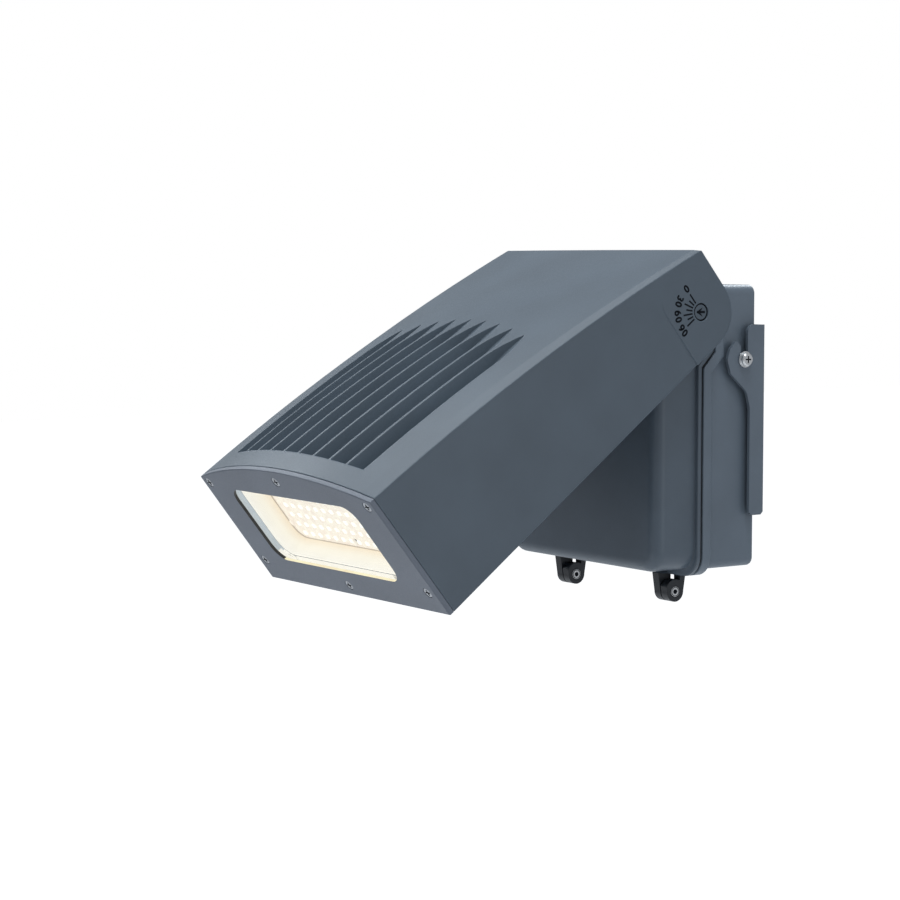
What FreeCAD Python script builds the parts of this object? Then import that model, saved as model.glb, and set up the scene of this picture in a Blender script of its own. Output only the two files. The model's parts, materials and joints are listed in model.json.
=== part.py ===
import FreeCAD, Part
import os
from math import cos, hypot, pi, radians, sin, tan

# An adjustable wall pack light: a die-cast lamp head tilts on two side pivots of a two-part
# wiring box, and the box hangs on a folded wall bracket.
# Units are millimetres.  Every piece is drawn about the pivot axis: X runs across the light,
# +Y points at the wall, +Z is up.  At the end the pieces move to the final frame, whose
# origin is the centre of the bracket's wall face.
# The head is drawn with its optical axis level, along -Y, and is then swung down to rest.

V = FreeCAD.Vector

# ---- lamp head ----
head_width = 220.0            # outside width at the foot of the skirts
head_reach = 271.0            # pivot axis to the face of the front frame
heel_radius = 25.5            # round heel of the side plates about the pivot axis
skirt_drop_front = 23.0       # skirt edge below the optical axis, at the front
shoulder_front = 69.7         # top of the side wall above the axis, at the front
shoulder_middle = 57.0        # the same half way: the shoulder line is arched
shoulder_rear = 31.5          # and at the heel
side_draft = 1.5              # degrees, side walls lean in towards the roof
bevel_run_front = 12.0        # flat strip between side wall and roof, widest at the front
bevel_rise_front = 3.3
bevel_run_rear = 3.4
bevel_rise_rear = 2.1
skirt_foot = 5.0              # sections start this far below the heel
crown_front = 11.5            # rise of the arched roof over its edges
crown_middle = 8.8
crown_rear = 0.6
roof_thickness = 12.0
skirt_thickness = 5.5
rear_lip_thickness = 3.5      # drip lip under the rear edge of the roof
rear_edge_chamfer = 2.5       # on the rear edge of the roof
rest_tilt = 38.0              # degrees below level in the photographed pose

# ---- cooling channels in the roof ----
channel_count = 9
fin_pitch = 18.0
fin_thickness = 2.0
channel_depth = 8.0
channel_front = 250.0         # front end of the channels, from the pivot axis
channel_tip = 88.0            # rear tip of the middle channel
channel_tip_sweep = 12.0      # the outer tips lie this much further forward
channel_ramp = 30.0           # length over which a channel rises to its tip
channel_tip_bulge = 0.42      # the pointed tip is fullest this share of the ramp from its point
channel_tip_fullness = 0.66   # and this share of the channel's half width there

# ---- ear, dial boss and pivot ----
ear_pad_rise = 0.9            # raised pad round the pivot on each side plate
ear_pad_front = 24.0          # front edge of the pad, ahead of the axis
ear_pad_top = 27.0            # top of the pad above the axis
ear_pad_corner = 16.0         # radius of its upper front corner
ear_pad_margin = 5.0
pivot_bolt_radius = 4.0
pivot_head_radius = 5.7
pivot_head_height = 3.1
pivot_seat_depth = 4.2        # the bolt head sits this deep in the side plate
trunnion_radius = 16.0
pivot_washer_thickness = 1.8
pivot_nut_flats = 13.0
pivot_nut_height = 6.5
lock_washer_radius = 8.0
lock_washer_thickness = 1.5

# ---- light engine ----
frame_thickness = 4.0         # front frame
frame_chamfer = 0.5           # on both rims, which leaves a groove against the head
frame_lip = 2.0               # frame in front of the glass
window_half_width = 77.0
window_bottom = -1.0          # above the optical axis
window_top = 62.0
window_radius = 12.0
lens_thickness = 4.0
lens_overlap = 5.5            # glass hidden behind the frame
lens_gasket_thickness = 0.6
lens_gasket_width = 4.0
reflector_depth = 15.0
reflector_wall = 1.2
reflector_taper = 1.5
board_thickness = 1.6
board_margin = 1.6            # board edge beyond the window opening
thermal_pad_thickness = 0.6
bulkhead_thickness = 7.0
led_columns = 14
led_rows = 7
led_pitch_x = 9.8
led_pitch_v = 8.4
led_size = 3.0
led_height = 0.8
board_screw_inset_x = 5.5     # from the window edge
board_screw_inset_v = 15.0
board_screw_radius = 1.5
board_screw_head_radius = 2.4
board_screw_head_height = 1.4
board_screw_length = 7.0
lead_hole_rise = 10.0         # lead hole in the bulkhead above the foot of the window
board_hole_rise = 5.8         # wire hole in the board, between two rows of lamps
frame_screw_radius = 1.9
frame_screw_head_radius = 3.5
frame_screw_head_height = 2.0
frame_screw_length = 16.0
frame_screw_top = 75.2        # heights above the axis
frame_screw_upper = 65.0
frame_screw_lower = -5.5
frame_screw_bottom = -14.1
frame_screw_upper_inset = 10.0    # from the side of the head
frame_screw_lower_inset = 9.0

# ---- wiring box: cover in front, back housing behind ----
box_width = 168.0
box_front = 17.0              # face of the cover ahead of the pivot axis
box_top = 17.4
box_bottom = 175.5            # below the pivot axis
box_corner_radius = 14.0
housing_corner_radius = 6.0
cover_edge_radius = 8.0
housing_edge_radius = 2.5
cast_wall = 3.0
seam_lower = 21.0             # seam plane behind the axis, below the knee
seam_upper = 31.0             # and behind the side plates of the head
seam_knee = 38.0              # the seam turns back this far below the axis
seam_rise = 10.5              # height gained by the slanted stretch
seal_thickness = 2.0
flange_lip = 3.0              # flanges stand out from the box sides
flange_drop = 4.7             # and hang below the box bottom
flange_corner_radius = 15.0
flange_top_radius = 9.0
cover_flange = 3.0
housing_flange = 7.0
seal_inset = 1.5
cover_screw_x = 52.0
cover_screw_z = 6.0
cover_screw_radius = 2.5
cover_screw_head_radius = 4.5
cover_screw_head_height = 4.0
cover_screw_grip = 10.0       # thread in the housing boss
cover_socket_flats = 4.0
screw_boss_radius = 6.0

# ---- hinge under the box ----
hinge_y = 18.0
hinge_drop = 192.0            # hinge axis below the pivot axis
hinge_x = 56.0
hinge_eye_radius = 7.0
hinge_lug_thickness = 6.5
hinge_lug_gap = 1.0
hinge_lug_depth = 18.0        # lug depth where it meets the flange
hinge_screw_radius = 2.0
hinge_head_radius = 3.5
hinge_head_height = 3.6
hinge_nut_flats = 7.0
hinge_nut_height = 3.2
socket_flats = 3.0
socket_depth = 2.0
hinge_neck = 1.5              # the stem keeps this much round the eye, then parts at the seam

# ---- wall bracket ----
bracket_thickness = 2.5
bracket_side_gap = 6.0        # box side to the outside of the side flange
bracket_wall_y = 72.5         # wall plane behind the pivot axis
bracket_top = 9.7             # below the pivot axis
bracket_bottom = 139.7
bracket_front = 60.0          # front edge of the lower strip of the side flange
hook_y = 54.7                 # centre line of the open slot
hook_z = 33.0                 # seat of the screw below the pivot axis
hook_radius = 3.1
hook_nose = 39.8              # foremost point of the hook finger
hook_tip_z = 20.0
hook_mouth_radius = 5.0       # rounded lead-in behind the slot
flange_toe = 2.0              # bevel at the foot of the flange, against the wall
bracket_slot_x = 60.0
bracket_slot_z = 45.0
bracket_slot_radius = 3.5
bracket_slot_length = 12.0
bracket_wire_radius = 27.0
wire_entry_radius = 11.0
hang_shoulder_radius = 2.9
hang_thread_radius = 2.5
hang_head_radius = 4.6
hang_head_height = 3.0
hang_washer_radius = 5.5
hang_washer_thickness = 1.0
hang_head_chamfer = 0.9
boss_depth = 6.0              # hang screw boss inside the housing wall

# ---- inside the box ----
driver_width = 96.0
driver_height = 118.0
driver_depth = 27.0
driver_top = 26.0             # below the pivot axis
driver_tab = 9.0
driver_tab_thickness = 2.0
driver_corner = 4.0
driver_screw_x = 36.0
driver_screw_radius = 1.9
driver_screw_head_radius = 3.4
driver_screw_head_height = 2.2
driver_screw_length = 3.6
terminal_width = 44.0
terminal_height = 20.0
terminal_depth = 17.0
terminal_z = 122.0            # below the pivot axis
terminal_poles = 3
terminal_bore_radius = 2.4
terminal_bore_inset = 4.8
terminal_step = 8.0           # step along the upper front edge
ground_x = 48.0
ground_z = 73.0
ground_radius = 2.5
ground_head_radius = 4.4
ground_head_height = 2.8
ground_boss_height = 7.0
gland_z = 46.0                # lamp lead gland on the cover, below the pivot axis
gland_radius = 6.0
gland_flats = 17.0
gland_height = 7.0
gland_collar = 4.2            # hexagon part of the gland
lead_radius = 3.2
grommet_lip = 2.5
grommet_wall = 3.0
grommet_lip_thickness = 1.5

# ---- clearances ----
slip = 0.1                    # screw in its hole, plate on its seat
running = 0.3                 # between pieces that move past each other
swing_room = 1.0              # head over the corner of the box as it folds
lip_room = 2.6                # rear mouth of the head over the box top
beyond = 1.0                  # cutting tools run this far past the stock
wall_gap = 0.3                # back housing to bracket plate

# ---- places worked out from the sizes above ----
head_half = head_width / 2
skirt_inner = head_half - skirt_thickness
roof_edge_rear = shoulder_rear + bevel_rise_rear
roof_edge_middle = shoulder_middle + (bevel_rise_rear + bevel_rise_front) / 2
roof_edge_front = shoulder_front + bevel_rise_front
lens_front = head_reach - frame_lip - lens_gasket_thickness
lens_back = lens_front - lens_thickness
board_face = lens_back - reflector_depth - slip
bulkhead_face = board_face - board_thickness - thermal_pad_thickness
bulkhead_back = bulkhead_face - bulkhead_thickness
window_middle = (window_bottom + window_top) / 2
box_half = box_width / 2
box_back = bracket_wall_y - bracket_thickness - wall_gap
flange_half = box_half + flange_lip
flange_bottom = box_bottom + flange_drop
bracket_half = box_half + bracket_side_gap
trunnion_end = skirt_inner - pivot_washer_thickness - running
pivot_seat = head_half - pivot_seat_depth
plate_middle_z = -(bracket_top + bracket_bottom) / 2
corner_sweep = hypot(box_front, box_top) + swing_room
lead_hole_z = window_bottom + lead_hole_rise
hang_boss_start = box_half - cast_wall - boss_depth
pivot_head_seat = pivot_seat + slip * 2


# ---- drawing helpers ----

def rounded_wire(corners, radii):
    """Closed wire through the corners, each rounded by its own radius."""
    count = len(corners)
    marks = []
    for index, corner in enumerate(corners):
        before = (corners[index - 1] - corner).normalize()
        after = (corners[(index + 1) % count] - corner).normalize()
        radius = radii[index]
        if radius <= 0:
            marks.append((corner, None, corner))
            continue
        half = before.getAngle(after) / 2
        reach = radius / tan(half)
        centre = corner + (before + after).normalize() * (radius / sin(half))
        middle = centre + (corner - centre).normalize() * radius
        marks.append((corner + before * reach, middle, corner + after * reach))
    edges = []
    for index, (start, middle, end) in enumerate(marks):
        if middle is not None:
            edges.append(Part.Arc(start, middle, end).toShape())
        following = marks[(index + 1) % count][0]
        if (following - end).Length > 1e-6:
            edges.append(Part.LineSegment(end, following).toShape())
    return Part.Wire(edges)


def prism(wire, direction):
    return Part.Face(wire).extrude(direction)


def side_prism(points, x_from, x_to, radii=None):
    """Outline in the Y-Z plane, extruded across X."""
    corners = [V(x_from, y, z) for y, z in points]
    radii = radii or [0.0] * len(points)
    return prism(rounded_wire(corners, radii), V(x_to - x_from, 0, 0))


def panel_wire(half_width, bottom, top, radius, y, top_radius=None):
    upper = radius if top_radius is None else top_radius
    low = [V(-half_width, y, bottom), V(half_width, y, bottom)]
    high = [V(half_width, y, top), V(-half_width, y, top)]
    return rounded_wire(low + high, [radius, radius, upper, upper])


def panel(half_width, bottom, top, radius, y_from, y_to, top_radius=None):
    """Rounded rectangle in the X-Z plane, extruded along Y."""
    wire = panel_wire(half_width, bottom, top, radius, y_from, top_radius)
    return prism(wire, V(0, y_to - y_from, 0))


def block(x_from, x_to, y_from, y_to, z_from, z_to):
    return Part.makeBox(x_to - x_from, y_to - y_from, z_to - z_from, V(x_from, y_from, z_from))


def rod_x(radius, x_from, x_to, y, z):
    return Part.makeCylinder(radius, x_to - x_from, V(x_from, y, z), V(1, 0, 0))


def rod_y(radius, x, y_from, y_to, z):
    return Part.makeCylinder(radius, y_to - y_from, V(x, y_from, z), V(0, 1, 0))


def hexagon(flats, start, direction):
    """Hexagonal prism from the start point along the direction vector."""
    across = V(0, 0, 1)
    side = across.cross(direction).normalize()
    radius = flats / 2 / cos(pi / 6)
    corners = []
    for turn in range(6):
        angle = turn * pi / 3
        corners.append(start + across * (radius * cos(angle)) + side * (radius * sin(angle)))
    return prism(rounded_wire(corners, [0.0] * 6), direction)


def fuse(shapes):
    whole = shapes[0]
    for shape in shapes[1:]:
        whole = whole.fuse(shape)
    return whole.removeSplitter()


def cut(shape, tools):
    for tool in tools:
        shape = shape.cut(tool)
    return shape


def mirrored(shape):
    return shape.mirror(V(0, 0, 0), V(1, 0, 0))


def both_sides(shape):
    return [shape, mirrored(shape)]


# ---- lamp head, optical axis along -Y ----

def side_half(height, proud=0.0):
    """Half width of the side walls at a height above the axis."""
    return head_half + proud - (height + heel_radius) * tan(radians(side_draft))


def along_head(rear, middle, front, ahead):
    """Value at a distance ahead of the pivot of a line through three stated values."""
    share = (ahead + heel_radius) / (head_reach + heel_radius)
    rear_part = rear * (1 - share) * (1 - 2 * share)
    front_part = front * share * (2 * share - 1)
    return rear_part + middle * 4 * share * (1 - share) + front_part


def head_section(ahead):
    """Outline across the head: drafted sides, bevel strips and the arch of the roof."""
    y = -ahead
    share = (ahead + heel_radius) / (head_reach + heel_radius)
    foot = -heel_radius - skirt_foot
    shoulder = along_head(shoulder_rear, shoulder_middle, shoulder_front, ahead)
    crown = along_head(crown_rear, crown_middle, crown_front, ahead)
    run = bevel_run_rear + (bevel_run_front - bevel_run_rear) * share
    edge = shoulder + bevel_rise_rear + (bevel_rise_front - bevel_rise_rear) * share
    points = [V(-side_half(foot), y, foot), V(-side_half(shoulder), y, shoulder)]
    points.append(V(-side_half(shoulder) + run, y, edge))
    right = [V(-point.x, y, point.z) for point in reversed(points)]
    left_lines = [Part.LineSegment(points[0], points[1]), Part.LineSegment(points[1], points[2])]
    arch = [Part.Arc(points[2], V(0, y, edge + crown), right[0])]
    right_lines = [Part.LineSegment(right[0], right[1]), Part.LineSegment(right[1], right[2])]
    base = [Part.LineSegment(right[2], points[0])]
    return Part.Wire([edge.toShape() for edge in left_lines + arch + right_lines + base])


def head_outline():
    """Side view of the head: straight skirt edge running into the round heel."""
    high = shoulder_front * 2
    far = -head_half * 2
    corner = roof_edge_rear - rear_edge_chamfer
    places = [(0, -heel_radius), (-head_reach, -skirt_drop_front), (-head_reach, high)]
    places += [(heel_radius + corner - high, high), (heel_radius, corner), (heel_radius, 0)]
    points = [V(far, y, z) for y, z in places]
    edges = [Part.LineSegment(start, end) for start, end in zip(points, points[1:])]
    bend = V(far, heel_radius * sin(pi / 4), -heel_radius * cos(pi / 4))
    edges.append(Part.Arc(points[-1], bend, points[0]))
    return prism(Part.Wire([edge.toShape() for edge in edges]), V(head_half * 4, 0, 0))


def head_blank():
    """Outside of the head: a smooth loft whose roof is arched both ways."""
    middle = (head_reach - heel_radius) / 2
    sections = [head_section(ahead) for ahead in (head_reach, middle, -heel_radius)]
    return Part.makeLoft(sections, True, False).common(head_outline())


def roof_height(x, ahead):
    """Height of the roof above the axis at x, a distance ahead of the pivot."""
    edge = along_head(roof_edge_rear, roof_edge_middle, roof_edge_front, ahead)
    crown = along_head(crown_rear, crown_middle, crown_front, ahead)
    edge_half = side_half(shoulder_front) - bevel_run_front
    return edge + crown * (1 - min(1.0, abs(x) / edge_half) ** 2)


def hollow_section(ahead):
    """Open space under the roof, with the roof's own arch."""
    foot = -heel_radius * 2
    edge = roof_height(head_half, ahead) - roof_thickness
    middle = roof_height(0, ahead) - roof_thickness
    low_left = V(-skirt_inner, -ahead, foot)
    low_right = V(skirt_inner, -ahead, foot)
    high_left = V(-skirt_inner, -ahead, edge)
    high_right = V(skirt_inner, -ahead, edge)
    edges = [Part.LineSegment(low_left, high_left), Part.Arc(high_left, V(0, -ahead, middle), high_right)]
    edges += [Part.LineSegment(high_right, low_right), Part.LineSegment(low_right, low_left)]
    return Part.Wire([edge.toShape() for edge in edges])


def head_hollow():
    """Space between the skirts that takes the wiring box when the head is folded down."""
    rear = -(heel_radius - rear_lip_thickness)
    middle = (bulkhead_back + rear) / 2
    sections = [hollow_section(ahead) for ahead in (bulkhead_back, middle, rear)]
    main = Part.makeLoft(sections, True, False)
    mouth = block(-skirt_inner, skirt_inner, 0, heel_radius * 2, -heel_radius * 2, box_top + lip_room)
    swing = rod_x(corner_sweep, -skirt_inner, skirt_inner, 0, 0)
    return fuse([main, mouth, swing])


def channel(x, outer_share):
    """One cooling channel: a pointed trough that rises to the roof at its rear tip."""
    half = (fin_pitch - fin_thickness) / 2
    high = shoulder_front * 2
    tip = channel_tip + channel_tip_sweep * outer_share
    full = tip + channel_ramp
    bulge = tip + channel_ramp * channel_tip_bulge
    point = V(x, -tip, 0)
    near = [V(x + half, -channel_front, 0), V(x + half, -full, 0)]
    far = [V(x - half, -full, 0), V(x - half, -channel_front, 0)]
    near_bulge = V(x + half * channel_tip_fullness, -bulge, 0)
    far_bulge = V(x - half * channel_tip_fullness, -bulge, 0)
    edges = [Part.LineSegment(far[1], near[0]), Part.LineSegment(near[0], near[1])]
    edges += [Part.Arc(near[1], near_bulge, point), Part.Arc(point, far_bulge, far[0])]
    edges.append(Part.LineSegment(far[0], far[1]))
    plan = prism(Part.Wire([edge.toShape() for edge in edges]), V(0, 0, high))
    middle = (full + channel_front) / 2
    side = [(-tip, roof_height(x, tip))]
    side += [(-ahead, roof_height(x, ahead) - channel_depth) for ahead in (full, middle, channel_front)]
    side += [(-channel_front, high), (-tip, high)]
    return plan.common(side_prism(side, x - fin_pitch, x + fin_pitch))


def channels():
    middle = (channel_count - 1) / 2
    troughs = []
    for index in range(channel_count):
        place = index - middle
        troughs.append(channel(place * fin_pitch, (place / middle) ** 2))
    return troughs


def ear_pad():
    """Raised pad round the pivot; its face meets the side wall at the top of the pad."""
    low = -heel_radius - skirt_foot
    foot = V(side_half(low, ear_pad_rise), 0, low)
    top = V(side_half(ear_pad_top), 0, ear_pad_top)
    inner = head_half - skirt_thickness / 2
    back = heel_radius * 2
    section = [V(inner, -ear_pad_front, foot.z), V(foot.x, -ear_pad_front, foot.z)]
    section += [V(top.x, -ear_pad_front, top.z), V(inner, -ear_pad_front, top.z)]
    pad = prism(rounded_wire(section, [0.0] * 4), V(0, back + ear_pad_front, 0))
    high = ear_pad_top + ear_pad_margin
    outline = [(-ear_pad_front, low), (back, low), (back, high), (-ear_pad_front, high)]
    pad = pad.common(side_prism(outline, 0, head_half * 2, [0.0, 0.0, 0.0, ear_pad_corner]))
    return pad.common(heel_trim())


def heel_trim():
    """The part of space in front of the round heel."""
    heel = rod_x(heel_radius, -head_half * 2, head_half * 2, 0, 0)
    ahead = block(-head_half * 2, head_half * 2, -head_reach * 2, 0, -heel_radius, head_reach)
    above = block(-head_half * 2, head_half * 2, -head_reach, heel_radius, 0, head_reach)
    return fuse([heel, ahead, above])


def frame_screw_places():
    places = [(0.0, frame_screw_top), (0.0, frame_screw_bottom)]
    corners = [(frame_screw_upper_inset, frame_screw_upper), (frame_screw_lower_inset, frame_screw_lower)]
    for inset, z in corners:
        places += [(head_half - inset, z), (inset - head_half, z)]
    return places


def board_screw_places():
    x = window_half_width - board_screw_inset_x
    low = window_bottom + board_screw_inset_v
    high = window_top - board_screw_inset_v
    return [(x, low), (-x, low), (x, high), (-x, high)]


def lens_panel(margin, y_from, y_to):
    """Panel with the window's outline, larger by the margin on every side."""
    bottom = window_bottom - margin
    top = window_top + margin
    return panel(window_half_width + margin, bottom, top, window_radius + margin, y_from, y_to)


def head_casting():
    body = head_blank().fuse(ear_pad()).fuse(mirrored(ear_pad()))
    body = cut(body, [frame_slab(), head_hollow()] + channels())
    chamber = lens_panel(board_margin + slip, -lens_back - slip, -bulkhead_face)
    seat = lens_panel(lens_overlap + slip, -head_reach, -lens_back)
    body = cut(body, [chamber, seat])
    for x, z in frame_screw_places():
        depth = -head_reach + frame_thickness + frame_screw_length
        body = body.cut(rod_y(frame_screw_radius + slip, x, -head_reach, depth, z))
    for x, z in board_screw_places():
        depth = -board_face + board_screw_length
        body = body.cut(rod_y(board_screw_radius + slip, x, -board_face, depth, z))
    lead_hole = rod_y(gland_radius, 0, -bulkhead_face - beyond, -bulkhead_back + beyond, lead_hole_z)
    pivot_hole = rod_x(pivot_bolt_radius + running, skirt_inner - beyond, pivot_seat + beyond, 0, 0)
    head_seat = rod_x(pivot_head_radius + running, pivot_seat, head_half * 2, 0, 0)
    body = cut(body, [lead_hole] + both_sides(pivot_hole) + both_sides(head_seat))
    return body.removeSplitter()


def frame_slab():
    """The part of space that the front frame takes."""
    half = head_half * 2
    return block(-half, half, -head_reach - beyond, -head_reach + frame_thickness, -head_reach, head_reach)


def bezel_frame():
    """Front frame that clamps the glass in its rebate, cut from the same outline as the head."""
    face = -head_reach
    back = face + frame_thickness
    frame = head_blank().common(frame_slab())
    rims = [edge for edge in frame.Edges if edge.BoundBox.YLength < slip / 10]
    frame = frame.makeChamfer(frame_chamfer, rims)
    window = lens_panel(0.0, face - beyond, back + beyond)
    rebate = lens_panel(lens_overlap + slip, face + frame_lip, back + beyond)
    frame = cut(frame, [window, rebate])
    seat_floor = face + frame_screw_head_height + slip * 2
    for x, z in frame_screw_places():
        through = rod_y(frame_screw_radius + slip, x, face - beyond, back + beyond, z)
        seat = rod_y(frame_screw_head_radius + slip * 3, x, face - beyond, seat_floor, z)
        frame = cut(frame, [through, seat])
    return frame.removeSplitter()


def bezel_screws():
    screws = []
    seat = -head_reach + frame_screw_head_height + slip * 2
    for x, z in frame_screw_places():
        head = rod_y(frame_screw_head_radius, x, seat - frame_screw_head_height, seat, z)
        shank = rod_y(frame_screw_radius, x, seat, -head_reach + frame_screw_length, z)
        screws.append(fuse([head, shank]))
    return screws


def lens_gasket():
    y_from = -head_reach + frame_lip
    outer = lens_panel(lens_overlap, y_from, -lens_front)
    inner_margin = lens_overlap - lens_gasket_width
    return outer.cut(lens_panel(inner_margin, y_from - beyond, -lens_front + beyond))


def lens_glass():
    return lens_panel(lens_overlap, -lens_front, -lens_back)


def reflector_wire(inset, y):
    half = window_half_width - inset
    radius = window_radius - inset
    return panel_wire(half, window_bottom + inset, window_top - inset, radius, y)


def reflector():
    """Bright frame round the lamps, drawn in a little towards the board."""
    front = -lens_back
    rear = -board_face
    outer_front = reflector_wire(-reflector_wall, front)
    outer_rear = reflector_wire(reflector_taper - reflector_wall, rear)
    inner_front = reflector_wire(0.0, front - beyond)
    inner_rear = reflector_wire(reflector_taper, rear + beyond)
    outer = Part.makeLoft([outer_front, outer_rear], True, True)
    return outer.cut(Part.makeLoft([inner_front, inner_rear], True, True))


def board_panel(y_from, y_to):
    return lens_panel(board_margin, y_from, y_to)


def led_board():
    front = -board_face
    back = front + board_thickness
    board = board_panel(front, back)
    for x, z in board_screw_places():
        board = board.cut(rod_y(board_screw_radius + slip, x, front - beyond, back + beyond, z))
    return board.cut(rod_y(lead_radius, 0, front - beyond, back + beyond, window_bottom + board_hole_rise))


def thermal_pad():
    front = -board_face + board_thickness
    pad = board_panel(front, -bulkhead_face)
    for x, z in board_screw_places():
        hole = rod_y(board_screw_radius + slip, x, front - beyond, -bulkhead_face + beyond, z)
        pad = pad.cut(hole)
    return pad.cut(rod_y(gland_radius, 0, front - beyond, -bulkhead_face + beyond, lead_hole_z))


def led_chips():
    chips = []
    half = led_size / 2
    for column in range(led_columns):
        for row in range(led_rows):
            x = (column - (led_columns - 1) / 2) * led_pitch_x
            z = window_middle + (row - (led_rows - 1) / 2) * led_pitch_v
            front = -board_face - led_height
            chips.append(block(x - half, x + half, front, -board_face, z - half, z + half))
    return chips


def board_screws():
    screws = []
    for x, z in board_screw_places():
        head = rod_y(board_screw_head_radius, x, -board_face - board_screw_head_height, -board_face, z)
        shank = rod_y(board_screw_radius, x, -board_face, -board_face + board_screw_length - slip, z)
        screws.append(fuse([head, shank]))
    return screws


def lead_grommet():
    """Rubber grommet in the bulkhead for the lamp lead."""
    z = lead_hole_z
    neck = rod_y(gland_radius - slip, 0, -bulkhead_face + slip, -bulkhead_back, z)
    lip = rod_y(gland_radius + grommet_lip, 0, -bulkhead_back, -bulkhead_back + grommet_lip_thickness, z)
    bore = rod_y(lead_radius, 0, -head_reach, 0, z)
    return fuse([neck, lip]).cut(bore)


# ---- pivot hardware, fixed to the cover ----

def pivot_bolt():
    head = rod_x(pivot_head_radius, pivot_head_seat, pivot_head_seat + pivot_head_height, 0, 0)
    inner_end = box_half - cast_wall - lock_washer_thickness - pivot_nut_height - beyond
    shank = rod_x(pivot_bolt_radius, inner_end, pivot_head_seat, 0, 0)
    return fuse([head, shank])


def pivot_washer():
    outer = trunnion_end + pivot_washer_thickness
    ring = rod_x(trunnion_radius - slip * 5, trunnion_end, outer, 0, 0)
    return ring.cut(rod_x(pivot_bolt_radius + slip, trunnion_end - beyond, outer + beyond, 0, 0))


def lock_washer():
    outer = box_half - cast_wall
    inner = outer - lock_washer_thickness
    ring = rod_x(lock_washer_radius, inner, outer, 0, 0)
    return ring.cut(rod_x(pivot_bolt_radius + slip, inner - beyond, outer + beyond, 0, 0))


def pivot_nut():
    outer = box_half - cast_wall - lock_washer_thickness
    nut = hexagon(pivot_nut_flats, V(outer - pivot_nut_height, 0, 0), V(pivot_nut_height, 0, 0))
    bore_start = outer - pivot_nut_height - beyond
    return nut.cut(rod_x(pivot_bolt_radius + slip / 2, bore_start, outer + beyond, 0, 0))


# ---- wiring box ----

def seam_points(offset):
    """Seam line in the Y-Z plane, moved towards the wall by the offset."""
    slant_y = seam_upper - seam_lower
    shift = (hypot(slant_y, seam_rise) - seam_rise) / slant_y * offset
    low = (seam_lower + offset, -flange_bottom * 2)
    knee = (seam_lower + offset, -seam_knee - shift)
    bend = (seam_upper + offset, -seam_knee + seam_rise - shift)
    high = (seam_upper + offset, box_top * 3)
    return [low, knee, bend, high]


def seam_band(near, far, half_width):
    """Slab that follows the seam, between two offsets from it."""
    points = seam_points(near) + list(reversed(seam_points(far)))
    return side_prism(points, -half_width, half_width)


def in_front_of_seam(offset):
    points = seam_points(offset) + [(-head_reach, box_top * 3), (-head_reach, -flange_bottom * 2)]
    return side_prism(points, -head_width, head_width)


def behind_seam(offset):
    far = bracket_wall_y * 2
    points = seam_points(offset) + [(far, box_top * 3), (far, -flange_bottom * 2)]
    return side_prism(points, -head_width, head_width)


def flange_panel(inset, y_from, y_to):
    half = flange_half - inset
    low_radius = flange_corner_radius - inset
    top_radius = flange_top_radius - inset
    return panel(half, -flange_bottom + inset, box_top, low_radius, y_from, y_to, top_radius)


def hinge_lug(x_middle, cover_side):
    """Hinge lug: a round eye on a tapered stem that runs up to its own flange."""
    half = hinge_lug_thickness / 2
    x_from = x_middle - half
    x_to = x_middle + half
    eye = rod_x(hinge_eye_radius, x_from, x_to, hinge_y, -hinge_drop)
    reach = hinge_lug_depth / 2
    root = -flange_bottom + beyond
    stem_points = [(hinge_y - hinge_eye_radius, -hinge_drop), (hinge_y + hinge_eye_radius, -hinge_drop)]
    stem_points += [(hinge_y + reach, root), (hinge_y - reach, root)]
    stem = side_prism(stem_points, x_from, x_to)
    neck = rod_x(hinge_eye_radius + hinge_neck, x_from, x_to, hinge_y, -hinge_drop)
    near_part = stem.common(neck)
    if cover_side:
        own_side = in_front_of_seam(-seal_thickness / 2)
    else:
        own_side = behind_seam(seal_thickness / 2)
    root_part = stem.common(own_side)
    return fuse([eye, near_part, root_part])


def hinge_lug_middles():
    """X of the housing lug and of the cover lug, as an offset from each hinge centre."""
    offset = (hinge_lug_thickness + hinge_lug_gap) / 2
    return offset, -offset


def hinge_centres():
    return [hinge_x, -hinge_x]


def cover_lugs():
    cover_offset = hinge_lug_middles()[1]
    return [hinge_lug(centre + cover_offset, True) for centre in hinge_centres()]


def housing_lugs():
    housing_offset = hinge_lug_middles()[0]
    return [hinge_lug(centre + housing_offset, False) for centre in hinge_centres()]


def box_inside(y_from, y_to):
    """Room inside the cover walls."""
    radius = box_corner_radius - cast_wall
    bottom = -box_bottom + cast_wall
    return panel(box_half - cast_wall, bottom, box_top - cast_wall, radius, y_from, y_to)


def front_cover():
    outer = panel(box_half, -box_bottom, box_top, box_corner_radius, -box_front, seam_upper * 2)
    face_rim = [edge for edge in outer.Edges if edge.BoundBox.YMax < -box_front + slip]
    outer = outer.makeFillet(cover_edge_radius, face_rim)
    outer = outer.common(in_front_of_seam(-seal_thickness / 2))
    band = seam_band(-seal_thickness / 2 - cover_flange, -seal_thickness / 2, head_half)
    flange = flange_panel(0.0, -box_front, seam_upper * 2).common(band)
    trunnions = both_sides(rod_x(trunnion_radius, box_half - box_corner_radius, trunnion_end, 0, 0))
    shell = fuse([outer, flange] + trunnions + cover_lugs())
    hollow = box_inside(-box_front + cast_wall, seam_upper * 2)
    bosses = []
    boss_end = seam_upper - seal_thickness / 2
    for x in (cover_screw_x, -cover_screw_x):
        bosses.append(rod_y(screw_boss_radius, x, -box_front + cast_wall, boss_end, cover_screw_z))
    shell = fuse([shell.cut(hollow)] + bosses)
    return cut(shell, cover_holes())


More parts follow.
